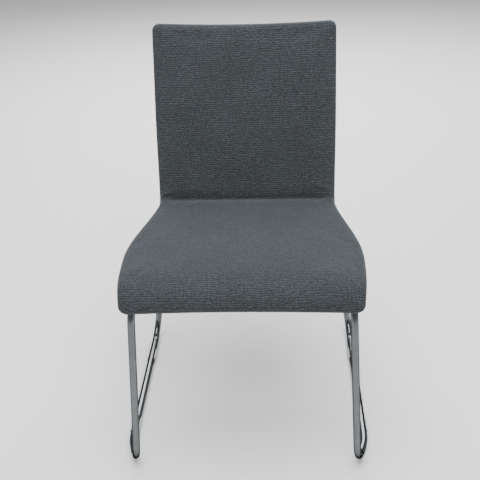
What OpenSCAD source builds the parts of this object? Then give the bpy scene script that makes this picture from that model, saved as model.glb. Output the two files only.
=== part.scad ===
// Stacking chair: one upholstered seat-and-back shell on two chromed side loops.
// Millimetres. +Z is up, the seat faces -Y, and the origin is on the floor
// under the middle of the chair's box.

/* [Overall] */
// Height of the top of the back above the floor
chair_h = 854; // [800:1:900]
// Depth from the front of the seat lip to the back of the runners
chair_d = 570; // [550:1:600]

/* [Seat and back] */
// Height of the crest of the seat surface
seat_h = 466; // [440:1:475]
// Fall of the seat surface towards the back, in degrees
seat_slope = 0.5; // [0:0.5:4]
// Length of the flat seat surface, from the fold to the start of the front curve
seat_flat = 345; // [310:1:360]
// Recline of the back from upright, in degrees
recline = 13.7; // [8:0.1:18]
// Greatest width of the seat
seat_w = 502; // [480:1:520]
// Width of the seat along its front lip
lip_w = 487; // [460:1:510]
// Width of the shell at its waist, where the seat turns into the back
waist_w = 409; // [390:1:430]
// Width of the back near its top
back_w = 414; // [400:1:440]
// Radius of the two top corners of the back
back_corner = 14; // [12:1:40]
// Dip of the middle of the top edge below its corners
top_dip = 5; // [0:1:12]

/* [Layers] */
// Thickness of the cover fabric
fabric_t = 1.6; // [1:0.1:2.5]
// Thickness of the foam in front of the plywood
foam_t = 24.8; // [18:0.2:30]
// Thickness of the moulded plywood
ply_t = 10; // [8:0.5:12]
// Depth of the foam that wraps the edge of the plywood
foam_edge = 4.4; // [2:0.2:8]

/* [Frame] */
// Outside diameter of the frame tube
tube_d = 16; // [14:0.5:18]
// Wall of the frame tube
tube_wall = 2; // [1.5:0.1:2.5]
// Outside diameter of the two cross tubes
cross_d = 14; // [12:0.5:14]
// Distance of the front leg behind the front of the lip, at the floor
front_foot = 25; // [20:1:40]
// Distance of the front leg behind the front of the lip, under the seat
front_head = 38; // [34:1:50]
// Lean of the rear legs towards the front, in degrees
rear_lean = 20; // [16:0.5:24]
// Distance from the middle of the chair to a side rail, at its front end
rail_front_x = 222.5; // [216:0.5:230]
// Distance from the middle of the chair to a side rail, at its rear end
rail_rear_x = 203; // [196:0.5:216]
// Distance from the middle of the chair to a front foot
foot_x = 239.5; // [236:0.5:250]
// Distance from the middle of the chair to the widest point of a runner
bow_x = 261; // [252:0.5:266]
// Distance from the middle of the chair to the rear end of a runner
rear_x = 256; // [250:0.5:264]
// Distance from the front foot to the widest point of a runner
bow_back = 83; // [75:1:110]

/* [Fittings] */
// Thickness of the welded mounting plates
plate_t = 3; // [2:0.5:4]
// Nominal diameter of the seat screws
screw_d = 6; // [5:1:6]
// Thickness of a glide under its tube
glide_t = 4; // [3:0.5:6]
// Length of a glide
glide_len = 44; // [30:1:60]

/* [Hidden] */
$fn = 64;

// ---- Side profile of the shell, in the y-z plane ----
shell_t = fabric_t + foam_t + ply_t + fabric_t;
nose_r = 48;
crest_r = 160;
fold_r = 12;
nose_start = 94;
nose_end = 13;
lip_drop = 6;
arc_step = 9;

back_angle = 90 - recline;

function dir(a) = [cos(a), sin(a)];

// Places relative to the fold corner, where the seat line would meet the back line
crest_start = -seat_flat * dir(-seat_slope);
crest_centre = crest_start - crest_r * dir(90 - seat_slope);
nose_centre = crest_centre + (crest_r - nose_r) * dir(90 + nose_end);
fold = [-chair_d / 2 - (nose_centre[0] - nose_r), seat_h - (crest_centre[1] + crest_r)];
fold_tangent = fold_r * tan((back_angle + seat_slope) / 2);
fold_centre = fold - fold_tangent * dir(-seat_slope) + fold_r * dir(90 - seat_slope);
back_len = (chair_h - fold[1]) / cos(recline);

// Points along the face of the shell, moved in by depth, from the lip to the top.
// The outward side is to the left of the way of travel.
function turn(centre, r, from, to) =
    let (n = ceil(abs(to - from) / arc_step))
    [for (i = [0:n]) let (a = from + (to - from) * i / n) centre + r * dir(a)];
function face_points(depth, trim) = concat(
    [fold + nose_centre + (nose_r - depth) * dir(nose_start + 90) - (lip_drop - trim) * dir(nose_start)],
    turn(fold + nose_centre, nose_r - depth, nose_start + 90, nose_end + 90),
    turn(fold + crest_centre, crest_r - depth, nose_end + 90, 90 - seat_slope),
    turn(fold_centre, fold_r + depth, -90 - seat_slope, back_angle - 90),
    [fold + (back_len - trim) * dir(back_angle) - depth * dir(back_angle + 90)]
);
function reversed(list) = [for (i = [len(list) - 1:-1:0]) list[i]];

// ---- Outlines of the shell ----
// The seat's plan is used up to seat_top_z, and the back's outline above it
outline_step = 12;
outline_spare = 5;
waist_run = 270;
waist_bend = 1.4;
wide_y = fold[0] - waist_run;
lip_y = -chair_d / 2;
seat_rear_y = fold[0] + shell_t + 20;
seat_top_z = seat_h + 4;
seat_prism_h = 120;
back_start = (seat_top_z - fold[1]) / cos(recline);

// The seat leaves the waist along a hollow curve and swells to its greatest width at wide_y
function swell(y) = pow(max(0, fold[0] - y) / waist_run, waist_bend);
function seat_half(y) = y > wide_y
    ? waist_w / 2 + (seat_w - waist_w) / 2 * sin(90 * swell(y))
    : seat_w / 2 - (seat_w - lip_w) / 2 * pow((wide_y - y) / (wide_y - lip_y), 2);

// Half of the seat's plan, as points from the front to the back
function seat_edge(inset) =
    let (
        front = lip_y - outline_spare,
        n = ceil((seat_rear_y - front) / outline_step)
    )
    [for (i = [0:n]) let (y = front + (seat_rear_y - front) * i / n) [seat_half(y) - inset, y]];
module seat_plan(inset) {
    edge = seat_edge(inset);
    polygon(concat(edge, reversed([for (p = edge) [-p[0], p[1]]])));
}

// The back's outline in its own plane: x across, y up along the back from the fold
function back_edge(inset) =
    let (
        w = back_w / 2 - inset,
        r = back_corner - inset,
        top = back_len - inset,
        corner = [w - r, top - r]
    )
    concat(
        [[waist_w / 2 - inset, -shell_t], [waist_w / 2 - inset, back_start], [w, back_len / 3]],
        [for (a = [0:15:90]) corner + r * dir(a)]
    );
module back_plan(inset) {
    edge = back_edge(inset);
    top = edge[len(edge) - 1];
    half = top[0];
    dip = [for (t = [0.8:-0.2:-0.8]) [half * t, top[1] - top_dip * (1 - t * t)]];
    polygon(concat(edge, dip, reversed([for (p = edge) [-p[0], p[1]]])));
}

// The part of the shell between two depths behind its face, held in from every edge
module slab(from, to, inset) {
    profile = concat(face_points(from, inset), reversed(face_points(to, inset)));
    intersection() {
        rotate([90, 0, 90])
            linear_extrude(seat_w + 20, center = true)
                polygon(profile);
        union() {
            translate([0, 0, seat_top_z - seat_prism_h])
                linear_extrude(seat_prism_h)
                    seat_plan(inset);
            intersection() {
                translate([0, fold[0], fold[1]])
                    rotate([90 - recline, 0, 0])
                        linear_extrude(4 * shell_t, center = true)
                            back_plan(inset);
                translate([-seat_w, -chair_d, seat_top_z])
                    cube([2 * seat_w, 2 * chair_d, chair_h]);
            }
        }
    }
}

// ---- Places on the underside of the seat ----
tube_r = tube_d / 2;
weld_bite = 1;
under_fall = tan(seat_slope);
under_drop = shell_t / cos(seat_slope);
rail_drop = (shell_t + plate_t + tube_r - weld_bite) / cos(seat_slope);
function under_z(y) = fold[1] + (fold[0] - y) * under_fall - under_drop;
function rail_z(y) = fold[1] + (fold[0] - y) * under_fall - rail_drop;
module on_underside(x, y) {
    translate([x, y, under_z(y)])
        rotate([-seat_slope, 0, 0])
            children();
}

// ---- Side loops ----
front_bend = 55;
foot_bend = 50;
bow_bend = 150;
rear_bend = 50;
floor_z = tube_r + glide_t;
head_y = lip_y + front_head;
foot_y = lip_y + front_foot;
rear_corner_y = chair_d / 2 - tube_r - rear_bend + rear_bend * tan((90 + rear_lean) / 2);
rear_head_y = rear_corner_y - (rail_z(rear_corner_y) - floor_z) * tan(rear_lean);

// Corners of the right loop and the bend radius at each, starting under the seat
loop_points = [
    [rail_front_x, head_y, rail_z(head_y)],
    [foot_x, foot_y, floor_z],
    [bow_x, foot_y + bow_back, floor_z],
    [rear_x, rear_corner_y, floor_z],
    [rail_rear_x, rear_head_y, rail_z(rear_head_y)]
];
loop_bends = [front_bend, foot_bend, bow_bend, rear_bend, rear_bend];

function rail_x(y) = rail_front_x + (rail_rear_x - rail_front_x) * (y - head_y) / (rear_head_y - head_y);
function runner_x(y) = bow_x + (rear_x - bow_x) * (y - foot_y - bow_back) / (rear_corner_y - foot_y - bow_back);
rail_way = loop_points[4] - loop_points[0];
runner_way = loop_points[3] - loop_points[2];

function unit(v) = v / norm(v);
function bend_angle(a, p, b) = acos(unit(p - a) * unit(b - p));
function bend_reach(a, p, b, r) = r * tan(bend_angle(a, p, b) / 2);

// Moves children so that their z axis points along ez and their x axis along ex
module place(ex, ez, at) {
    ey = cross(ez, ex);
    multmatrix([
        [ex[0], ey[0], ez[0], at[0]],
        [ex[1], ey[1], ez[1], at[1]],
        [ex[2], ey[2], ez[2], at[2]]
    ])
        children();
}
function square_to(v) = unit(cross(v, abs(v[0]) < 0.7 ? [1, 0, 0] : [0, 0, 1]));

module tube_section(outer, inner) {
    difference() {
        circle(outer);
        circle(inner);
    }
}
module straight_tube(from, to, outer, inner) {
    way = unit(to - from);
    place(square_to(way), way, from)
        linear_extrude(norm(to - from))
            tube_section(outer, inner);
}
module solid_rod(from, to, r) {
    way = unit(to - from);
    place(square_to(way), way, from)
        cylinder(norm(to - from), r, r);
}
module tube_bend(a, p, b, r, outer, inner) {
    u = unit(p - a);
    v = unit(b - p);
    angle = bend_angle(a, p, b);
    centre = p + unit(v - u) * r / cos(angle / 2);
    start = p - u * bend_reach(a, p, b, r);
    place(unit(start - centre), unit(cross(u, v)), centre)
        rotate_extrude(angle = angle)
            translate([r, 0])
                tube_section(outer, inner);
}
// Each straight laps over the bends beside it, which are a hair thinner, so that
// no two surfaces of one loop lie on each other
lap = 1;
lap_step = 0.03;
module closed_loop(points, bends, outer, inner) {
    n = len(points);
    for (i = [0:n - 1]) {
        a = points[(i + n - 1) % n];
        p = points[i];
        b = points[(i + 1) % n];
        c = points[(i + 2) % n];
        way = unit(b - p);
        tube_bend(a, p, b, bends[i], outer - lap_step, inner + lap_step);
        straight_tube(
            p + way * (bend_reach(a, p, b, bends[i]) - lap),
            b - way * (bend_reach(p, b, c, bends[(i + 1) % n]) - lap),
            outer,
            inner
        );
    }
}

// side is 1 on the right and -1 on the left
module on_side(side) {
    if (side > 0) {
        children();
    } else {
        mirror([1, 0, 0])
            children();
    }
}
module side_frame(side) {
    color("silver")
        on_side(side)
            closed_loop(loop_points, loop_bends, tube_r, tube_r - tube_wall);
}

// The two ends of each loop meet on this plug, half way along the rail
plug_len = 60;
module joint_plug(side) {
    middle = (loop_points[0] + loop_points[4]) / 2;
    reach = unit(rail_way) * plug_len / 2;
    color("dimgray")
        on_side(side)
            solid_rod(middle - reach, middle + reach, tube_r - tube_wall);
}

// ---- Cross tubes and mounting plates ----
cross_wall = 1.5;
front_cross_y = head_y + 75;
rear_cross_y = rear_head_y - 65;
module rail_solid() {
    solid_rod(loop_points[0], loop_points[4], tube_r);
}
module cross_tube(y) {
    x = rail_x(y);
    color("silver")
        difference() {
            translate([-x, y, rail_z(y)])
                rotate([0, 90, 0])
                    linear_extrude(2 * x)
                        tube_section(cross_d / 2, cross_d / 2 - cross_wall);
            for (side = [-1, 1])
                on_side(side)
                    rail_solid();
        }
}

plate_w = 46;
plate_l = 62;
plate_over = 5;
screw_in = 25;
screw_apart = 40;
screw_clear = 0.5;
module mounting_plate(side, y) {
    x = rail_x(y) + plate_over - plate_w / 2;
    color("silver")
        on_side(side)
            difference() {
                on_underside(x, y)
                    translate([0, 0, -plate_t / 2])
                        cube([plate_w, plate_l, plate_t], center = true);
                rail_solid();
                for (end = [-1, 1])
                    on_underside(rail_x(y) - screw_in, y)
                        translate([0, end * screw_apart / 2, -plate_t - 1])
                            cylinder(plate_t + 2, screw_d / 2 + screw_clear, screw_d / 2 + screw_clear);
            }
}

// ---- Screws, washers and threaded inserts ----
washer_t = 1.6;
washer_d = 12.5;
head_d = 11;
head_h = 3.4;
hex_d = 4.6;
hex_depth = 2;
insert_wall = 1;
insert_len = 8.5;
insert_flange_d = 18;
insert_flange_t = 1.2;
ply_front = fabric_t + ply_t;

// Runs children at each of the eight screw axes, with z up from the underside
module at_screws() {
    for (side = [-1, 1])
        for (y = [front_cross_y, rear_cross_y])
            for (end = [-1, 1])
                on_underside(side * (rail_x(y) - screw_in), y)
                    translate([0, end * screw_apart / 2, 0])
                        children();
}
module seat_screws() {
    under_head = plate_t + washer_t;
    color("gray")
        at_screws()
            difference() {
                union() {
                    translate([0, 0, -under_head - head_h])
                        cylinder(head_h, head_d / 2 - 1, head_d / 2);
                    translate([0, 0, -under_head])
                        cylinder(under_head + ply_front, screw_d / 2, screw_d / 2);
                }
                translate([0, 0, -under_head - head_h - 1])
                    cylinder(hex_depth + 1, hex_d / 2, hex_d / 2, $fn = 6);
            }
}
module seat_washers() {
    color("lightgray")
        at_screws()
            translate([0, 0, -plate_t - washer_t])
                difference() {
                    cylinder(washer_t, washer_d / 2, washer_d / 2);
                    translate([0, 0, -1])
                        cylinder(washer_t + 2, screw_d / 2 + screw_clear / 2, screw_d / 2 + screw_clear / 2);
                }
}
module threaded_inserts() {
    color("goldenrod")
        at_screws()
            translate([0, 0, ply_front])
                difference() {
                    union() {
                        cylinder(insert_flange_t, insert_flange_d / 2, insert_flange_d / 2);
                        translate([0, 0, -insert_len])
                            cylinder(insert_len, screw_d / 2 + insert_wall, screw_d / 2 + insert_wall);
                    }
                    translate([0, 0, -insert_len - 1])
                        cylinder(insert_len + insert_flange_t + 2, screw_d / 2, screw_d / 2);
                }
}

// ---- Shell, foam and covers ----
ply_depth = fabric_t + foam_t;
rear_depth = shell_t - fabric_t;
module plywood_shell() {
    color("burlywood")
        difference() {
            slab(ply_depth, rear_depth, fabric_t + foam_edge);
            at_screws()
                translate([0, 0, -1])
                    cylinder(ply_front + 2, screw_d / 2 + insert_wall, screw_d / 2 + insert_wall);
        }
}
module foam_layer() {
    difference() {
        slab(fabric_t, rear_depth, fabric_t);
        slab(ply_depth, shell_t + 10, fabric_t + foam_edge);
        at_screws()
            translate([0, 0, ply_front - 1])
                cylinder(insert_flange_t + 1, insert_flange_d / 2, insert_flange_d / 2);
    }
}
// Everything on the seat side of the plane that halves the angle at the fold
module seat_side() {
    half_angle = (back_angle - seat_slope) / 2;
    translate([0, fold[0], fold[1]])
        rotate([half_angle + 90, 0, 0])
            translate([-seat_w, -chair_d, 0])
                cube([2 * seat_w, 2 * chair_d, chair_h]);
}
module seat_foam() {
    color("khaki")
        intersection() {
            foam_layer();
            seat_side();
        }
}
module back_foam() {
    color("khaki")
        difference() {
            foam_layer();
            seat_side();
        }
}
module front_cover() {
    color("slategray")
        difference() {
            slab(0, rear_depth, 0);
            slab(fabric_t, shell_t + 10, fabric_t);
        }
}
module rear_cover() {
    color("darkslategray")
        difference() {
            slab(rear_depth, shell_t, 0);
            at_screws()
                translate([0, 0, -1])
                    cylinder(fabric_t + 2, screw_d / 2 + screw_clear, screw_d / 2 + screw_clear);
        }
}

// ---- Glides ----
glide_wall = 2.5;
glide_grip = 3;
glide_foot_w = 16;
front_glide_y = foot_y + bow_back + 55;
rear_glide_y = chair_d / 2 - 120;
module glide(side, y) {
    x = runner_x(y);
    yaw = atan2(-runner_way[0], runner_way[1]);
    color("whitesmoke")
        on_side(side)
            translate([x, y, 0])
                rotate([0, 0, yaw])
                    difference() {
                        intersection() {
                            union() {
                                translate([0, glide_len / 2, floor_z])
                                    rotate([90, 0, 0])
                                        cylinder(glide_len, tube_r + glide_wall, tube_r + glide_wall);
                                translate([-glide_foot_w / 2, -glide_len / 2, 0])
                                    cube([glide_foot_w, glide_len, floor_z]);
                            }
                            translate([-tube_d, -glide_len, 0])
                                cube([2 * tube_d, 2 * glide_len, floor_z + glide_grip]);
                        }
                        translate([0, glide_len, floor_z])
                            rotate([90, 0, 0])
                                cylinder(2 * glide_len, tube_r, tube_r);
                    }
}

side_frame(-1);  // left_side_frame
side_frame(1);  // right_side_frame
joint_plug(-1);  // left_joint_plug
joint_plug(1);  // right_joint_plug
cross_tube(front_cross_y);  // front_cross_tube
cross_tube(rear_cross_y);  // rear_cross_tube
mounting_plate(-1, front_cross_y);  // front_left_plate
mounting_plate(1, front_cross_y);  // front_right_plate
mounting_plate(-1, rear_cross_y);  // rear_left_plate
mounting_plate(1, rear_cross_y);  // rear_right_plate
seat_screws();
seat_washers();
threaded_inserts();
plywood_shell();
seat_foam();
back_foam();
front_cover();
rear_cover();
glide(-1, front_glide_y);  // front_left_glide
glide(1, front_glide_y);  // front_right_glide
glide(-1, rear_glide_y);  // rear_left_glide
glide(1, rear_glide_y);  // rear_right_glide
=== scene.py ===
"""The stacking chair's looks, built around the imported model.

The steel frame, plates, fastenings, glides and plywood are the CAD nodes with better materials. The
padding and its covers are made here: each is laid out flat, as cloth is cut, in cloth coordinates (x
across, s along the shell from its lip to its top edge, and a depth below the face), and then carried
on to the shell's bent profile. All lengths are metres.
"""
import math

import bpy
import numpy as np
from mathutils import Matrix, Vector


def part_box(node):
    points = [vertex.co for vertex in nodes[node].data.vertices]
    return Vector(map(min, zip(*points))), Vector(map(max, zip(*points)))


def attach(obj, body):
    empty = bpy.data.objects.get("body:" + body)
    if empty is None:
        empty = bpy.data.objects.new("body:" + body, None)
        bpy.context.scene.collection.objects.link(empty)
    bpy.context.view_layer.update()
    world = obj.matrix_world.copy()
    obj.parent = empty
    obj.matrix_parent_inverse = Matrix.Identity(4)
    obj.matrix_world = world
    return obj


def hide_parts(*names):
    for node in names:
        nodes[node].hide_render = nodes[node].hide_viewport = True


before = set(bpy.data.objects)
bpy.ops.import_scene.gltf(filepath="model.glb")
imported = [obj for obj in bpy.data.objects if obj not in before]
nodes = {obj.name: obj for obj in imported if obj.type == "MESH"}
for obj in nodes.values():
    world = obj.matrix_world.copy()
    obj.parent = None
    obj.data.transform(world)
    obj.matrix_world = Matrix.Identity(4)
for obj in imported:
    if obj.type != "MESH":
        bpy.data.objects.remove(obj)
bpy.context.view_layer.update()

ROOT = "root"

# ---- The shell, as part.scad lays it out ----
SEAT_H = 0.466
SEAT_SLOPE = 0.5
RECLINE = 13.7
SEAT_FLAT = 0.345
LIP_DROP = 0.006
NOSE_R = 0.048
NOSE_START = 94.0
NOSE_END = 13.0
CREST_R = 0.160
FOLD_R = 0.012
WAIST_RUN = 0.270
WAIST_BEND = 1.4
SEAT_W = 0.502
LIP_W = 0.487
WAIST_W = 0.409
BACK_W = 0.414
SHELL_T = 0.038
FABRIC_T = 0.0016
FOAM_DEPTH = 0.0258

# ---- The upholstery's own shape. FACE_EDGE_R stays below TOP_CORNER, or the edge folds over itself ----
LIP_CORNER = 0.018
TOP_CORNER = 0.014
TOP_DIP = 0.005
LIP_ARCH = 0.006
FACE_EDGE_R = 0.0125
REAR_EDGE_R = 0.006
SEAM_DEPTH = 0.0315
SEAM_GAP = 0.0008
SEAM_TUCK = 0.0016
CROWN = 0.0025
CROWN_RUN = 0.090


def smooth(t):
    """0 below 0, 1 above 1, and an S-shaped step between them."""
    t = np.clip(t, 0, 1)
    return t * t * (3 - 2 * t)


def bell(v, width):
    """1 where v is 0, falling away smoothly on both sides."""
    return np.exp(-((v / width) ** 2))


NO_BEND = 1e-9


class Profile:
    """The shell's face in the y-z plane, as a chain of lines and arcs from the lip to the top edge.

    runs is a list of (length, turn), with turn in degrees and positive to the left.
    """

    def __init__(self, heading, runs):
        self.starts = [0.0]
        self.points = [np.zeros(2)]
        self.headings = [math.radians(heading)]
        self.bends = []
        for length, turn in runs:
            bend = math.radians(turn) / length
            self.bends.append(bend)
            self.points.append(self._step(self.points[-1], self.headings[-1], bend, length))
            self.headings.append(self.headings[-1] + bend * length)
            self.starts.append(self.starts[-1] + length)
        self.length = self.starts[-1]

    @staticmethod
    def _step(point, heading, bend, run):
        end = heading + bend * run
        curved = np.abs(bend) > NO_BEND
        safe = np.where(curved, bend, 1.0)
        arc = np.stack([(np.sin(end) - np.sin(heading)) / safe, (np.cos(heading) - np.cos(end)) / safe], -1)
        line = np.stack([run * np.cos(heading), run * np.sin(heading)], -1)
        return point + np.where(curved[..., None], arc, line)

    def at(self, s):
        """The face's y and z at each s, and its heading there."""
        s = np.asarray(s, float)
        i = np.clip(np.searchsorted(self.starts, s, side="right") - 1, 0, len(self.bends) - 1)
        bend, heading = np.array(self.bends)[i], np.array(self.headings)[i]
        run = s - np.array(self.starts)[i]
        return self._step(np.array(self.points)[i], heading, bend, run), heading + bend * run

    def move(self, shift):
        self.points = [p + shift for p in self.points]


def arc_run(radius, turn):
    return radius * math.radians(abs(turn)), turn


cover_low, cover_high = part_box("front_cover")
SLOPE = math.radians(SEAT_SLOPE)
FOLD_Z = SEAT_H - SEAT_FLAT * math.sin(SLOPE) - CREST_R * (1 - math.cos(SLOPE))
BACK_LEN = (cover_high.z - FOLD_Z) / math.cos(math.radians(RECLINE))
FOLD_TURN = 90 - RECLINE + SEAT_SLOPE
FOLD_TANGENT = FOLD_R * math.tan(math.radians(FOLD_TURN / 2))
profile = Profile(
    NOSE_START,
    [
        (LIP_DROP, 0),
        arc_run(NOSE_R, NOSE_END - NOSE_START),
        arc_run(CREST_R, -SEAT_SLOPE - NOSE_END),
        (SEAT_FLAT - FOLD_TANGENT, 0),
        arc_run(FOLD_R, FOLD_TURN),
        (BACK_LEN - FOLD_TANGENT, 0),
    ],
)
LENGTH = profile.length
S_FOLD = (profile.starts[4] + profile.starts[5]) / 2
PROFILE_SAMPLES = 2000
face, _ = profile.at(np.linspace(0, LENGTH, PROFILE_SAMPLES))
profile.move(np.array([cover_low.y - face[:, 0].min(), cover_high.z - face[-1, 1]]))
fold_corner, _ = profile.at(np.array(profile.starts[4]))
FOLD_Y = fold_corner[0] + FOLD_TANGENT * math.cos(SLOPE)
LIP_Y = cover_low.y


def half_width(s):
    """Half the shell's width at each s: widest near the front of the seat, narrow at the fold."""
    y = profile.at(s)[0][..., 0]
    wide_y = FOLD_Y - WAIST_RUN
    waist, wide, lip, back = WAIST_W / 2, SEAT_W / 2, LIP_W / 2, BACK_W / 2
    growth = np.clip((FOLD_Y - y) / WAIST_RUN, 0, 1) ** WAIST_BEND
    rear = waist + (wide - waist) * np.sin(math.pi / 2 * growth)
    front = wide - (wide - lip) * np.clip((wide_y - y) / (wide_y - LIP_Y), 0, 1) ** 2
    upper = waist + (back - waist) * smooth((s - S_FOLD) / (BACK_LEN / 2))
    return np.where(s > S_FOLD, upper, np.where(y > wide_y, rear, front))


# ---- Relief of the padded face, as a rise above the plain profile ----
TUCK_DEPTH = 0.0034
TUCK_WIDTH = 0.0034
TUCK_END = 0.172
TUCK_FADE = 0.026
ROLL_RISE = 0.0010
ROLL_AT = 0.024
ROLL_WIDTH = 0.014
BRIDGE_RISE = 0.0070
BRIDGE_START = 0.166
BRIDGE_RUN = 0.034
BRIDGE_WIDTH = 0.020
# Short creases in the cloth at the two ends of the fold: where each starts and ends, as
# (x, distance up the back from the fold), its rise and its width. A crease fades in and out over
# shares of its length, and its hollow lies a number of widths away.
END_CREASES = [
    ((0.146, 0.036), (0.201, 0.018), 0.0024, 0.0040),
    ((0.168, 0.018), (0.204, 0.008), 0.0014, 0.0034),
    ((-0.156, 0.024), (-0.203, 0.012), 0.0016, 0.0044),
    ((-0.172, 0.042), (-0.204, 0.028), 0.0011, 0.0044),
]
CREASE_IN = 0.3
CREASE_OUT = 0.15
HOLLOW_SHARE = 0.7
HOLLOW_AWAY = 1.6


def crease_rise(x, up, start, end, rise, width):
    """A soft ridge along one straight crease, with a hollow under it."""
    start, end = np.array(start), np.array(end)
    way = end - start
    length = np.linalg.norm(way)
    way = way / length
    along = (x - start[0]) * way[0] + (up - start[1]) * way[1]
    beside = (up - start[1]) * way[0] - (x - start[0]) * way[1]
    beside = beside * np.sign(way[0])
    reach = smooth(along / (CREASE_IN * length)) * smooth((length - along) / (CREASE_OUT * length))
    return rise * reach * (bell(beside, width) - HOLLOW_SHARE * bell(beside + HOLLOW_AWAY * width, width))


def face_rise(x, s):
    """How far the padded face stands above the plain profile."""
    half = half_width(s)
    inside = smooth((half - np.abs(x)) / CROWN_RUN) * smooth(s / CROWN_RUN) * smooth((LENGTH - s) / CROWN_RUN)
    up = s - S_FOLD
    middle = 1 - smooth((np.abs(x) - TUCK_END) / TUCK_FADE)
    ends = smooth((np.abs(x) - BRIDGE_START) / BRIDGE_RUN)
    rise = CROWN * inside
    rise = rise - TUCK_DEPTH * middle * bell(up, TUCK_WIDTH)
    rise = rise + ROLL_RISE * middle * (bell(up - ROLL_AT, ROLL_WIDTH) + bell(up + ROLL_AT, ROLL_WIDTH))
    rise = rise + BRIDGE_RISE * ends * bell(up, BRIDGE_WIDTH)
    for crease in END_CREASES:
        rise = rise + crease_rise(x, up, *crease)
    return rise


def on_shell(x, s, depth):
    """Points in space for cloth coordinates."""
    face, heading = profile.at(s)
    y = face[..., 0] + depth * np.sin(heading)
    z = face[..., 1] - depth * np.cos(heading)
    return np.stack([x, y, z], -1)


# ---- Mesh steps along the cloth, finer round the fold ----
PANEL_STEP = 0.0045
COARSE_STEP = 0.0085
FOAM_STEP = 0.012
FOLD_STEP = 0.0030
FOLD_REACH = 0.008
FOLD_FADE = 0.030


def spread(low, high, step):
    """Stations from low to high, a step apart but closer round the fold."""
    fine = min(step, FOLD_STEP)
    places = [low]
    while places[-1] < high:
        away = smooth((abs(places[-1] - S_FOLD) - FOLD_REACH) / FOLD_FADE)
        places.append(places[-1] + fine + (step - fine) * away)
    places = np.array(places)
    return low + (places - low) * (high - low) / (places[-1] - low)


# ---- Panels: a grid inside a rounded outline, and rings that turn down over its edge ----
class Panel:
    """One cut of cloth or foam: s from low to high, with rounded corners and bowed end edges."""

    def __init__(
        self, low, high, corner_low, corner_high, bow_low=0.0, bow_high=0.0, step=PANEL_STEP, corner_steps=8
    ):
        self.low, self.high = low, high
        self.corner_low, self.corner_high = corner_low, corner_high
        self.bow_low, self.bow_high = bow_low, bow_high
        self.across = max(4, round(SEAT_W / step))
        self.stations = spread(low + corner_low, high - corner_high, step)
        self.along = len(self.stations) - 1
        self.corner_steps = corner_steps

    def _arc(self, side, top, inset, start, stop):
        """Half of a corner's arc, without its last point."""
        r = self.corner_high if top else self.corner_low
        s = self.high - r if top else self.low + r
        x = half_width(np.array(s)) - r
        a = np.radians(np.linspace(start, stop, self.corner_steps // 2 + 1))
        return side * (x + (r - inset) * np.cos(a)), s + (r - inset) * np.sin(a)

    def side(self, side, inset):
        """The left (-1) or right (1) edge, from the middle of the low corner to that of the high one."""
        x0, s0 = self._arc(side, False, inset, -45, 0)
        s1 = self.stations
        x1 = side * (half_width(s1) - inset)
        x2, s2 = self._arc(side, True, inset, 0, 45)
        return np.concatenate([x0[:-1], x1, x2[1:]]), np.concatenate([s0[:-1], s1, s2[1:]])

    def end(self, top, inset):
        """The low or high edge, from its left corner's middle to its right corner's."""
        r = self.corner_high if top else self.corner_low
        s_edge = self.high - inset if top else self.low + inset
        bow = -self.bow_high if top else self.bow_low
        turn = 1 if top else -1
        x0, s0 = self._arc(-1, top, inset, 45 * turn, 90 * turn)
        x2, s2 = self._arc(1, top, inset, 90 * turn, 45 * turn)
        reach = x2[0]
        x1 = np.linspace(-reach, reach, self.across + 1)
        s1 = s_edge + bow * (1 - (x1 / reach) ** 2)
        return np.concatenate([x0[:-1], x1, x2[1:]]), np.concatenate([s0[:-1], s1, s2[1:]])

    def grid(self, inset):
        """A grid of cloth points whose border is the outline, held in by inset."""
        left, right = np.stack(self.side(-1, inset)), np.stack(self.side(1, inset))
        low, high = np.stack(self.end(False, inset)), np.stack(self.end(True, inset))
        v = self._share(left)[None, :, None]
        u = self._share(low)[None, None, :]
        sides = (1 - u) * left[:, :, None] + u * right[:, :, None]
        ends = (1 - v) * low[:, None, :] + v * high[:, None, :]
        corners = (
            (1 - u) * (1 - v) * left[:, :1, None]
            + u * (1 - v) * right[:, :1, None]
            + (1 - u) * v * left[:, -1:, None]
            + u * v * right[:, -1:, None]
        )
        return sides + ends - corners

    @staticmethod
    def _share(curve):
        run = np.concatenate([[0], np.cumsum(np.linalg.norm(np.diff(curve, axis=1), axis=0))])
        return run / run[-1]

    def loop(self, inset):
        """The closed outline, held in by inset, from the low left corner and round by the right."""
        low, right = np.stack(self.end(False, inset)), np.stack(self.side(1, inset))
        high, left = np.stack(self.end(True, inset)), np.stack(self.side(-1, inset))
        return np.concatenate([low[:, :-1], right[:, :-1], high[:, :0:-1], left[:, :0:-1]], axis=1)

    def border(self):
        """The grid's indices along its border, in the same order as loop."""
        rows = self.along + 1 + self.corner_steps
        cols = self.across + 1 + self.corner_steps
        index = np.arange(rows * cols).reshape(rows, cols)
        return np.concatenate([index[0, :-1], index[:-1, -1], index[-1, :0:-1], index[:0:-1, 0]])


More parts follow.
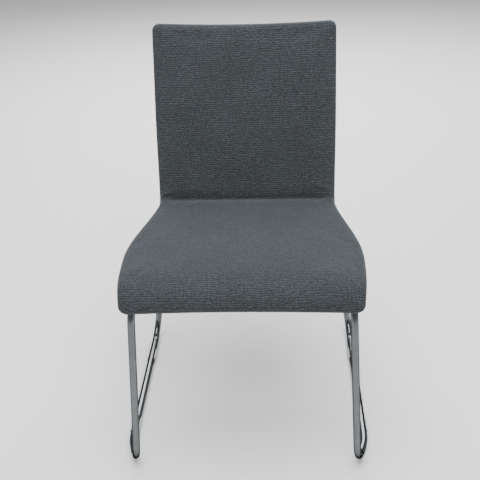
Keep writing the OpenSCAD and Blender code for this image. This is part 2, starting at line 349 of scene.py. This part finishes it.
class Skin:
    """Gathers points, their cloth coordinates and faces for one mesh."""

    def __init__(self):
        self.points = []
        self.weave = []
        self.faces = []
        self.count = 0

    def add(self, points, weave):
        first = self.count
        self.points.append(points.reshape(-1, 3))
        self.weave.append(weave.reshape(-1, 3))
        self.count += len(self.points[-1])
        return first

    def grid_faces(self, first, rows, cols, flip):
        i = first + np.arange(rows * cols).reshape(rows, cols)
        quads = np.stack([i[:-1, :-1], i[:-1, 1:], i[1:, 1:], i[1:, :-1]], -1).reshape(-1, 4)
        self.faces.append(quads[:, ::-1] if flip else quads)

    def strip(self, a, b, flip):
        """Quads between two closed rings of indices."""
        quads = np.stack([a, b, np.roll(b, -1), np.roll(a, -1)], -1)
        self.faces.append(quads[:, ::-1] if flip else quads)

    def build(self, name):
        points, weave = np.concatenate(self.points), np.concatenate(self.weave)
        mesh = bpy.data.meshes.new(name)
        mesh.from_pydata(points.tolist(), [], np.concatenate(self.faces).tolist())
        mesh.attributes.new("weave", "FLOAT_VECTOR", "POINT").data.foreach_set("vector", weave.ravel())
        mesh.shade_smooth()
        mesh.validate()
        piece = bpy.data.objects.new(name, mesh)
        bpy.context.scene.collection.objects.link(piece)
        return piece


def rounding(r, steps):
    """(inset, depth) pairs down a rounded edge of radius r."""
    return [(r - r * math.sin(a), r - r * math.cos(a)) for a in np.radians(np.linspace(0, 90, steps + 1))]


def lay_side(skin, panel, rings, depth_of, rise, flip, sign=1.0):
    """Adds a grid and the rings round it, and gives back the last ring's indices.

    rings is a list of (inset, depth), the first being the grid's border. depth_of turns a ring's
    depth into a depth below the face, and sign is -1 where the layer's face looks backwards.
    """
    inset0, depth0 = rings[0]
    grid = panel.grid(inset0)
    x, s = grid[0], grid[1]
    lift = rise(x, s)
    first = skin.add(on_shell(x, s, depth_of(depth0) - sign * lift), np.stack([x, s, 0 * x], -1))
    skin.grid_faces(first, *x.shape, flip)
    last = first + panel.border()
    edge, outer = panel.loop(inset0), panel.loop(0.0)
    out = outer - edge
    out = out / np.linalg.norm(out, axis=0)
    edge_lift = rise(edge[0], edge[1])
    travel = 0.0
    before = rings[0]
    for inset, depth in rings[1:]:
        ring = panel.loop(inset)
        travel += math.hypot(inset - before[0], depth - before[1])
        before = (inset, depth)
        keep = smooth(inset / inset0)
        weave = edge + out * travel
        points = on_shell(ring[0], ring[1], depth_of(depth) - sign * keep * edge_lift)
        start = skin.add(points, np.stack([weave[0], weave[1], depth + 0 * weave[0]], -1))
        ring_index = start + np.arange(ring.shape[1])
        skin.strip(last, ring_index, flip)
        last = ring_index
    return last


def no_rise(x, s):
    return 0 * x


# The rings down the wall of the front cover, and the bend of each hem above the seam
WALL_DEPTHS = (0.016, 0.020, 0.024, 0.028)
HEM_BEND = 0.0012
HEM_SLACK = 0.0003
REAR_HEM_SLACK = 0.0002


def front_cover():
    """The cover of the face and edges, with its hem turned in at the seam."""
    panel = Panel(0, LENGTH, LIP_CORNER, TOP_CORNER, LIP_ARCH, TOP_DIP, COARSE_STEP, corner_steps=4)
    wall = [(0, depth) for depth in WALL_DEPTHS]
    hem = [
        (HEM_SLACK, SEAM_DEPTH - HEM_BEND),
        (SEAM_TUCK / 2, SEAM_DEPTH - HEM_SLACK),
        (SEAM_TUCK, SEAM_DEPTH),
    ]
    skin = Skin()
    lay_side(skin, panel, rounding(FACE_EDGE_R, 4) + wall + hem, lambda d: d, face_rise, False)
    return skin.build("front_cover_cloth")


def rear_cover():
    """The cover of the back's rear and the seat's underside, with its hem turned in at the seam."""
    panel = Panel(0, LENGTH, LIP_CORNER, TOP_CORNER, LIP_ARCH, TOP_DIP)
    rim = SHELL_T - SEAM_DEPTH - SEAM_GAP
    hem = [(REAR_HEM_SLACK, rim - HEM_BEND / 2), (SEAM_TUCK, rim)]
    skin = Skin()
    lay_side(skin, panel, rounding(REAR_EDGE_R, 5) + hem, lambda d: SHELL_T - d, no_rise, True, -1.0)
    return skin.build("rear_cover_cloth")


def weave_of(mesh):
    """Each vertex's cloth coordinates."""
    values = np.zeros(len(mesh.vertices) * 3, np.float32)
    mesh.attributes["weave"].data.foreach_get("vector", values)
    return values.reshape(-1, 3)


def mark_hem(piece):
    """Stores, for the stitches, how far inside the panel's outline each vertex is and how far along it."""
    x, s, _ = weave_of(piece.data).T
    side, end = half_width(s) - np.abs(x), np.minimum(s, LENGTH - s)
    hem = np.stack([np.minimum(side, end), np.where(side < end, s, x), 0 * x], -1, dtype=np.float32)
    piece.data.attributes.new("hem", "FLOAT_VECTOR", "POINT").data.foreach_set("vector", hem.ravel())


def unroll(piece):
    """Measures the rear panel's cloth along its own surface, which runs round the outside of the fold."""
    x, s, depth = weave_of(piece.data).T
    heading = profile.at(s)[1]
    weave = np.stack([x, LENGTH + s + SHELL_T * heading, depth], -1, dtype=np.float32)
    piece.data.attributes["weave"].data.foreach_set("vector", weave.ravel())


def points_of(mesh):
    values = np.zeros(len(mesh.vertices) * 3, np.float32)
    mesh.vertices.foreach_get("co", values)
    return values.reshape(-1, 3)


SIM_FRAMES = 20
PRESSURE = 4.0
SWELL_CAP = 0.003
# The cover is held still from this depth down to its hem, and this near to the tuck in the fold
HELD_DEPTH = 0.027
HELD_AT_FOLD = 0.006


def swell(piece):
    """Inflates a cover from its seam and its fold by cloth simulation.

    Only the way outwards is kept, up to a cap, because foam lies under the whole cover.
    """
    mesh = piece.data
    x, s, depth = weave_of(mesh).T
    held = (depth > HELD_DEPTH) | ((np.abs(s - S_FOLD) < HELD_AT_FOLD) & (np.abs(x) < TUCK_END))
    group = piece.vertex_groups.new(name="held")
    group.add(np.flatnonzero(held).tolist(), 1.0, "REPLACE")
    simulation = piece.modifiers.new("cloth", "CLOTH")
    settings = simulation.settings
    settings.quality = 5
    settings.mass = 0.3
    settings.tension_stiffness = settings.compression_stiffness = 30
    settings.shear_stiffness = 12
    settings.bending_stiffness = 2.0
    settings.vertex_group_mass = group.name
    settings.use_pressure = True
    settings.uniform_pressure_force = PRESSURE
    settings.effector_weights.gravity = 0
    simulation.point_cache.frame_start = 1
    simulation.point_cache.frame_end = SIM_FRAMES
    scene = bpy.context.scene
    for number in range(1, SIM_FRAMES + 1):
        scene.frame_set(number)
    swollen = points_of(piece.evaluated_get(bpy.context.evaluated_depsgraph_get()).data)
    piece.modifiers.remove(simulation)
    piece.vertex_groups.remove(group)
    scene.frame_set(1)
    outward = np.zeros(len(mesh.vertices) * 3, np.float32)
    mesh.vertex_normals.foreach_get("vector", outward)
    outward = outward.reshape(-1, 3)
    start = points_of(mesh)
    rise = np.maximum(0, np.sum((swollen - start) * outward, axis=1, keepdims=True))
    start += outward * rise * SWELL_CAP / (rise + SWELL_CAP)
    mesh.vertices.foreach_set("co", start.ravel())
    mesh.update()


def thicken(piece, subdivide=False):
    """Gives a cover the thickness of its cloth, inwards, after one subdivision if it is coarse."""
    if subdivide:
        piece.modifiers.new("smooth", "SUBSURF").levels = 1
    solid = piece.modifiers.new("thickness", "SOLIDIFY")
    solid.thickness = FABRIC_T
    solid.offset = -1.0
    solid.use_rim = True
    apply_modifiers(piece)


def apply_modifiers(piece):
    shape = piece.evaluated_get(bpy.context.evaluated_depsgraph_get())
    mesh = bpy.data.meshes.new_from_object(shape)
    piece.modifiers.clear()
    piece.data = mesh


COVER_CLEARANCE = 0.0004
FOAM_CUT = 0.001


def foam_block(name, low, high, corner_low, corner_high, bow_low=0.0, bow_high=0.0):
    """One foam pad under the cover, a closed crowned block."""
    gap = FABRIC_T + COVER_CLEARANCE
    panel = Panel(low, high, corner_low, corner_high, bow_low, bow_high, FOAM_STEP, corner_steps=4)
    r = FACE_EDGE_R - gap
    edge = [(gap + i, gap + d) for i, d in rounding(r, 5)] + [(gap, FOAM_DEPTH - FOAM_CUT)]
    skin = Skin()
    ring = lay_side(skin, panel, edge, lambda d: d, face_rise, False)
    x, s = panel.grid(gap + FOAM_CUT)
    first = skin.add(on_shell(x, s, FOAM_DEPTH + 0 * x), np.stack([x, s, FOAM_DEPTH + 0 * x], -1))
    skin.grid_faces(first, *x.shape, True)
    skin.strip(ring, first + panel.border(), False)
    return skin.build(name)


# ---- Materials ----
def new_material(name):
    material = bpy.data.materials.new(name)
    material.use_nodes = True
    tree = material.node_tree
    return material, tree, tree.nodes["Principled BSDF"]


class Nodes:
    """Short forms for making and linking shader nodes."""

    def __init__(self, tree):
        self.tree = tree

    def new(self, kind, **values):
        node = self.tree.nodes.new(kind)
        for key, value in values.items():
            if hasattr(node, key):
                setattr(node, key, value)
            else:
                node.inputs[key.replace("_", " ")].default_value = value
        return node

    def link(self, a, b):
        self.tree.links.new(a, b)

    def math(self, kind, a, b=None):
        node = self.tree.nodes.new("ShaderNodeMath")
        node.operation = kind
        for socket, value in zip(node.inputs, (a, b)):
            if value is None:
                continue
            if isinstance(value, (int, float)):
                socket.default_value = value
            else:
                self.link(value, socket)
        return node.outputs[0]

    def noise(self, vector, scale, detail=2.0, roughness=0.5):
        node = self.new("ShaderNodeTexNoise", Scale=scale, Detail=detail, Roughness=roughness)
        self.link(vector, node.inputs["Vector"])
        return node.outputs["Fac"]

    def stretch(self, vector, scale):
        node = self.tree.nodes.new("ShaderNodeMapping")
        node.inputs["Scale"].default_value = scale
        self.link(vector, node.inputs["Vector"])
        return node.outputs["Vector"]

    def ramp(self, value, stops):
        node = self.tree.nodes.new("ShaderNodeValToRGB")
        elements = node.color_ramp.elements
        while len(elements) < len(stops):
            elements.new(0.5)
        for element, (place, colour) in zip(elements, stops):
            element.position = place
            element.color = (*colour, 1)
        self.link(value, node.inputs["Fac"])
        return node.outputs["Color"]

    def range(self, value, low, high, start=0.0, end=1.0):
        """value, taken from between start and end to between low and high."""
        node = self.new("ShaderNodeMapRange", From_Min=start, From_Max=end, To_Min=low, To_Max=high)
        self.link(value, node.inputs["Value"])
        return node.outputs["Result"]

    def bump(self, height, distance, strength):
        node = self.new("ShaderNodeBump", Strength=strength, Distance=distance)
        self.link(height, node.inputs["Height"])
        return node.outputs["Normal"]


# ---- The cloth: its ribs, dashes, slubs and yarns in metres, and the shares of each in its relief ----
RIB_PITCH = 0.0048
RIB_DRIFT = 2.0 * RIB_PITCH
DRIFT_SCALE = (34, 60, 1)
DASH_LEN = 0.0095
DASH_SHIFT = 7.31
SLUB_LEN = 0.0038
YARN_PITCH = 0.0016
DASH_RELIEF = 0.75
SLUB_RELIEF = 1.25
YARN_RELIEF = 0.03
RELIEF_RANGE = (0.46, 1.26)
RELIEF_DEPTH = 0.0008
RELIEF_STRENGTH = 0.7
# A paler patch painted in the middle of the seat as painted light, where the seat is lit brightest, which
# fades from its middle at s = LIT_PATCH_AT
LIT_PATCH_AT = 0.240
LIT_PATCH_WIDTH = 0.170
LIT_PATCH_LENGTH = 0.100
LIT_PATCH_TONE = 0.15
CLOUD_SCALE = 11.0
CLOUD_TONE = 0.13
WOOL_DARK = (0.012, 0.014, 0.016)
WOOL_MID = (0.028, 0.032, 0.036)
WOOL_LIGHT = (0.058, 0.065, 0.071)
WOOL_ROUGHNESS = (0.80, 0.98)
SHEEN_TINT = (0.80, 0.88, 0.95)

# The stitches of the rear cover's hem. THREAD and GROOVE say how far from the seam's line each
# starts to fade and where it ends.
STITCH_INSET = 0.0085
STITCH_PITCH = 0.0046
STITCH_SHARE = 0.66
# How strongly the stitches tint the colour: the thread lighter, and the groove darker as painted shade
THREAD_TONE_AND_GROOVE_SHADE = 0.35
THREAD = (0.0003, 0.0007)
THREAD_HEIGHT = 1.6
GROOVE = (0.0005, 0.0022)
GROOVE_DEPTH = 0.6


def stitches(n):
    """Above 0 on the stitches round a marked hem, below 0 in the groove they pull, and 0 elsewhere."""
    split = n.new("ShaderNodeSeparateXYZ")
    n.link(n.new("ShaderNodeAttribute", attribute_name="hem").outputs["Vector"], split.inputs[0])
    away = n.math("ABSOLUTE", n.math("SUBTRACT", split.outputs["X"], STITCH_INSET))
    thread = n.range(away, 1.0, 0.0, *THREAD)
    groove = n.range(away, -GROOVE_DEPTH, 0.0, *GROOVE)
    stitch_at = n.math("FRACT", n.math("DIVIDE", split.outputs["Y"], STITCH_PITCH))
    stitch = n.math("LESS_THAN", stitch_at, STITCH_SHARE)
    return n.math("ADD", groove, n.math("MULTIPLY", n.math("MULTIPLY", thread, stitch), THREAD_HEIGHT))


def yarn_relief(n, weave, x, s, slub):
    """The cloth's relief: ribs broken into dashes, on slubs, with a fine yarn across them."""
    drift = n.noise(n.stretch(weave, DRIFT_SCALE), 1.0)
    rows = n.math("DIVIDE", n.math("ADD", s, n.math("MULTIPLY", drift, RIB_DRIFT)), RIB_PITCH)
    row = n.math("FLOOR", rows)
    rib = n.math("SINE", n.math("MULTIPLY", n.math("FRACT", rows), math.pi))
    dash_at = n.new("ShaderNodeCombineXYZ")
    n.link(n.math("DIVIDE", x, DASH_LEN), dash_at.inputs["X"])
    n.link(n.math("MULTIPLY", row, DASH_SHIFT), dash_at.inputs["Y"])
    dash = n.noise(dash_at.outputs["Vector"], 1.0, roughness=0.7)
    yarn_at = n.math("ADD", n.math("DIVIDE", x, YARN_PITCH), n.math("MULTIPLY", row, 0.5))
    yarn = n.math("SINE", n.math("MULTIPLY", yarn_at, math.tau))
    relief = n.math("MULTIPLY", rib, n.math("MULTIPLY", dash, DASH_RELIEF))
    relief = n.math("ADD", relief, n.math("MULTIPLY", slub, SLUB_RELIEF))
    return n.math("ADD", relief, n.math("MULTIPLY", yarn, YARN_RELIEF))


def painted_light_patch(n, x, s):
    """1 in the middle of the patch of painted light on the seat, fading away round it."""
    across = n.math("POWER", n.math("DIVIDE", x, LIT_PATCH_WIDTH), 2)
    along = n.math("POWER", n.math("DIVIDE", n.math("SUBTRACT", s, LIT_PATCH_AT), LIT_PATCH_LENGTH), 2)
    return n.math("EXPONENT", n.math("MULTIPLY", n.math("ADD", across, along), -1))


def ribbed_cloth():
    """Woven wool: ribs across the chair, broken into short dashes of lighter and darker yarn, with the
    hollows between the ribs painted darker as shade.
    """
    material, tree, shader = new_material("ribbed_wool_cloth")
    n = Nodes(tree)
    weave = n.new("ShaderNodeAttribute", attribute_name="weave").outputs["Vector"]
    split = n.new("ShaderNodeSeparateXYZ")
    n.link(weave, split.inputs[0])
    x, s = split.outputs["X"], split.outputs["Y"]
    slub = n.noise(weave, 1 / SLUB_LEN, roughness=0.6)
    relief = yarn_relief(n, weave, x, s, slub)
    seam = stitches(n)
    cloud = n.noise(weave, CLOUD_SCALE, detail=3.0)
    # The colour follows the relief: partly the yarn's own lighter and darker dashes and slubs, partly painted
    # shade in the hollows between the ribs
    tone = n.range(relief, 0.0, 1.0, *RELIEF_RANGE)
    # Painted light: the middle of the seat is painted paler
    tone = n.math("ADD", tone, n.math("MULTIPLY", painted_light_patch(n, x, s), LIT_PATCH_TONE))
    tone = n.math("ADD", tone, n.range(cloud, -CLOUD_TONE, CLOUD_TONE))
    # The stitches tint the colour: the thread lighter, and the groove they pull darker as painted shade
    tone = n.math("ADD", tone, n.math("MULTIPLY", seam, THREAD_TONE_AND_GROOVE_SHADE))
    colour = n.ramp(tone, [(0.0, WOOL_DARK), (0.5, WOOL_MID), (1.0, WOOL_LIGHT)])
    n.link(colour, shader.inputs["Base Color"])
    n.link(n.range(slub, *WOOL_ROUGHNESS), shader.inputs["Roughness"])
    n.link(n.bump(n.math("ADD", relief, seam), RELIEF_DEPTH, RELIEF_STRENGTH), shader.inputs["Normal"])
    shader.inputs["Specular IOR Level"].default_value = 0.25
    shader.inputs["Sheen Weight"].default_value = 0.12
    shader.inputs["Sheen Roughness"].default_value = 0.5
    shader.inputs["Sheen Tint"].default_value = (*SHEEN_TINT, 1)
    return material


# ---- The hard materials and the foam ----
# The tube chrome's colour is painted darker than real chrome, a painted reflection of dark surroundings
CHROME = (0.150, 0.158, 0.164)
PLATE_CHROME = (0.28, 0.29, 0.30)
ZINC = (0.56, 0.58, 0.60)
BRASS = (0.66, 0.50, 0.26)
BARE_STEEL = (0.42, 0.42, 0.43)
MARK_DEPTH = 0.0002
MARK_STRENGTH = 0.3
DULL_SHARE = 0.85
PLASTIC_DARK = (0.60, 0.62, 0.62)
PLASTIC_LIGHT = (0.72, 0.74, 0.74)
PLASTIC_ROUGHNESS = (0.22, 0.38)
HAZE_SCALE = 240.0
BEECH_DARK = (0.42, 0.27, 0.15)
BEECH_LIGHT = (0.66, 0.48, 0.30)
BEECH_ROUGHNESS = (0.42, 0.60)
GRAIN_SCALE = (90, 6, 6)
FLECK_SCALE = (900, 90, 90)
FLECK_SHARE = 0.25
FOAM_DARK = (0.55, 0.50, 0.34)
FOAM_LIGHT = (0.78, 0.74, 0.58)
CELL_SCALE = 700.0
CELL_DEPTH = 0.0006
CELL_STRENGTH = 0.6


def metal(name, colour, roughness, streak, marked=False, glancing=1.0):
    """A plated or bare metal, a little uneven as plating leaves it.

    roughness is a pair, from low to high, and streak the scale of the unevenness along x, y and z.
    glancing tints what it mirrors where it turns away, on the shader itself.
    """
    material, tree, shader = new_material(name)
    n = Nodes(tree)
    place = n.new("ShaderNodeTexCoord").outputs["Object"]
    smudge = n.noise(n.stretch(place, streak), 1.0, detail=4.0, roughness=0.6)
    n.link(n.range(smudge, *roughness), shader.inputs["Roughness"])
    dull = tuple(c * DULL_SHARE for c in colour)
    n.link(n.ramp(smudge, [(0.35, dull), (0.65, colour)]), shader.inputs["Base Color"])
    shader.inputs["Metallic"].default_value = 1.0
    shader.inputs["Specular Tint"].default_value = (glancing, glancing, glancing, 1)
    if marked:
        n.link(n.bump(smudge, MARK_DEPTH, MARK_STRENGTH), shader.inputs["Normal"])
    return material


def clear_plastic():
    """Moulded plastic, half clear and a little hazy."""
    material, tree, shader = new_material("clear_moulded_plastic")
    n = Nodes(tree)
    place = n.new("ShaderNodeTexCoord").outputs["Object"]
    haze = n.noise(place, HAZE_SCALE, detail=3.0)
    n.link(n.range(haze, *PLASTIC_ROUGHNESS), shader.inputs["Roughness"])
    n.link(n.ramp(haze, [(0.3, PLASTIC_DARK), (0.7, PLASTIC_LIGHT)]), shader.inputs["Base Color"])
    shader.inputs["Transmission Weight"].default_value = 0.55
    shader.inputs["IOR"].default_value = 1.46
    return material


def plywood():
    """Beech veneer, with a stretched grain and fine dark flecks."""
    material, tree, shader = new_material("beech_plywood")
    n = Nodes(tree)
    place = n.new("ShaderNodeTexCoord").outputs["Object"]
    grain = n.noise(n.stretch(place, GRAIN_SCALE), 1.0, detail=6.0, roughness=0.6)
    fleck = n.noise(n.stretch(place, FLECK_SCALE), 1.0)
    mix = n.math("ADD", n.math("MULTIPLY", grain, 1 - FLECK_SHARE), n.math("MULTIPLY", fleck, FLECK_SHARE))
    n.link(n.ramp(mix, [(0.3, BEECH_DARK), (0.7, BEECH_LIGHT)]), shader.inputs["Base Color"])
    n.link(n.range(grain, *BEECH_ROUGHNESS), shader.inputs["Roughness"])
    return material


def foam():
    """Cut upholstery foam with open cells."""
    material, tree, shader = new_material("upholstery_foam")
    n = Nodes(tree)
    place = n.new("ShaderNodeTexCoord").outputs["Object"]
    cells = n.noise(place, CELL_SCALE, detail=3.0)
    n.link(n.ramp(cells, [(0.3, FOAM_DARK), (0.7, FOAM_LIGHT)]), shader.inputs["Base Color"])
    n.link(n.bump(cells, CELL_DEPTH, CELL_STRENGTH), shader.inputs["Normal"])
    shader.inputs["Roughness"].default_value = 0.95
    return material


def dress(piece, material):
    """Gives a piece, new or from CAD, one material."""
    piece.data.materials.clear()
    piece.data.materials.append(material)


# ---- Pieces ----
cloth = ribbed_cloth()
foam_material = foam()

cover = front_cover()
swell(cover)
thicken(cover, subdivide=True)
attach(cover, ROOT)
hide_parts("front_cover")
dress(cover, cloth)

back_panel = rear_cover()
mark_hem(back_panel)
unroll(back_panel)
thicken(back_panel)
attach(back_panel, ROOT)
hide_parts("rear_cover")
dress(back_panel, cloth)

FOAM_GAP = 0.0006
FOAM_CORNER = 0.018
seat_pad = foam_block("seat_foam_pad", 0.0, S_FOLD - FOAM_GAP, LIP_CORNER, FOAM_CORNER, bow_low=LIP_ARCH)
back_pad = foam_block("back_foam_pad", S_FOLD + FOAM_GAP, LENGTH, FOAM_CORNER, TOP_CORNER, bow_high=TOP_DIP)
for pad, node in ((seat_pad, "seat_foam"), (back_pad, "back_foam")):
    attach(pad, ROOT)
    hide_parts(node)
    dress(pad, foam_material)

# The tube chrome's low edge tint darkens its rims, a painted reflection of dark surroundings
chrome = metal("chrome_plated_tube", CHROME, (0.10, 0.18), (30, 30, 30), glancing=0.1)
plate_chrome = metal("chrome_plated_plate", PLATE_CHROME, (0.12, 0.22), (80, 80, 80))
zinc = metal("bright_zinc", ZINC, (0.22, 0.36), (300, 300, 300), marked=True)
brass = metal("plain_brass", BRASS, (0.25, 0.40), (300, 300, 300))
bare_steel = metal("turned_steel", BARE_STEEL, (0.25, 0.45), (300, 20, 300), marked=True)
glide_plastic = clear_plastic()
wood = plywood()
finishes = {
    "side_frame": chrome,
    "cross_tube": chrome,
    "plate": plate_chrome,
    "screws": zinc,
    "washers": zinc,
    "inserts": brass,
    "joint_plug": bare_steel,
    "glide": glide_plastic,
    "plywood_shell": wood,
}
for name, node in nodes.items():
    for ending, material in finishes.items():
        if name.endswith(ending):
            dress(node, material)

# ---- Floor, light and camera ----
FLOOR_SIZE = 30.0
FLOOR_COLOUR = (0.92, 0.92, 0.92)


def lay_floor():
    """A plain pale floor under the chair."""
    reach = FLOOR_SIZE / 2
    corners = [(-reach, -reach, 0), (reach, -reach, 0), (reach, reach, 0), (-reach, reach, 0)]
    mesh = bpy.data.meshes.new("floor")
    mesh.from_pydata(corners, [], [(0, 1, 2, 3)])
    floor = bpy.data.objects.new("floor", mesh)
    bpy.context.scene.collection.objects.link(floor)
    material, _, shader = new_material("pale_floor")
    shader.inputs["Base Color"].default_value = (*FLOOR_COLOUR, 1)
    shader.inputs["Roughness"].default_value = 0.9
    mesh.materials.append(material)


def area_light(name, place, target, size, power, spread):
    """A rectangular lamp at place, aimed at target, with its size in metres and its spread in degrees."""
    lamp = bpy.data.lights.new(name, "AREA")
    lamp.shape = "RECTANGLE"
    lamp.size, lamp.size_y = size
    lamp.energy = power
    lamp.spread = math.radians(spread)
    holder = bpy.data.objects.new(name, lamp)
    bpy.context.scene.collection.objects.link(holder)
    way = Vector(target) - Vector(place)
    holder.rotation_euler = way.to_track_quat("-Z", "Y").to_euler()
    holder.location = place


# The studio round the chair by height, from the horizon (0) to straight above (1)
WORLD_RAMP = [
    (0.0, (0.80, 0.80, 0.81)),
    (0.3, (0.60, 0.60, 0.61)),
    (0.6, (0.60, 0.60, 0.61)),
    (1.0, (1.0, 1.0, 1.0)),
]
WORLD_STRENGTH = 0.6


def light_world():
    """Soft light from all round, a little darker at middle height."""
    world = bpy.data.worlds.new("studio")
    bpy.context.scene.world = world
    world.use_nodes = True
    n = Nodes(world.node_tree)
    direction = n.new("ShaderNodeSeparateXYZ")
    n.link(n.new("ShaderNodeTexCoord").outputs["Generated"], direction.inputs[0])
    background = world.node_tree.nodes["Background"]
    n.link(n.ramp(direction.outputs["Z"], WORLD_RAMP), background.inputs["Color"])
    background.inputs["Strength"].default_value = WORLD_STRENGTH


lay_floor()
area_light("overhead_softbox", (0.0, -0.4, 2.6), (0.0, -0.2, 0.0), (2.4, 1.8), power=60, spread=150)
area_light("front_fill", (0.5, -2.2, 2.6), (0.0, 0.1, 0.6), (1.6, 1.2), power=8, spread=60)
area_light("backdrop_light", (0.0, 2.8, 2.2), (0.0, 1.8, 0.0), (3.0, 1.2), power=60, spread=120)
light_world()

# The camera stands in front of the chair, a little towards +x, and looks down at its seat
CAMERA_PLACE = (0.083, -1.836, 1.377)
CAMERA_TURN = 2.96
CAMERA_PITCH = 27.31
CAMERA_ROLL = -1.90
LENS = 70.05
SENSOR = 36.0


def place_camera():
    """Sets the camera by its turn to the left, its pitch down and its roll, in degrees."""
    turn, pitch, roll = (math.radians(a) for a in (CAMERA_TURN, CAMERA_PITCH, CAMERA_ROLL))
    aim = Matrix.Rotation(turn, 4, "Z") @ Matrix.Rotation(math.pi / 2 - pitch, 4, "X")
    aim = aim @ Matrix.Rotation(roll, 4, "Z")
    data = bpy.data.cameras.new("camera")
    data.sensor_width = SENSOR
    data.lens = LENS
    data.clip_end = 100
    camera = bpy.data.objects.new("camera", data)
    camera.matrix_world = Matrix.Translation(CAMERA_PLACE) @ aim
    bpy.context.scene.collection.objects.link(camera)
    bpy.context.scene.camera = camera


place_camera()
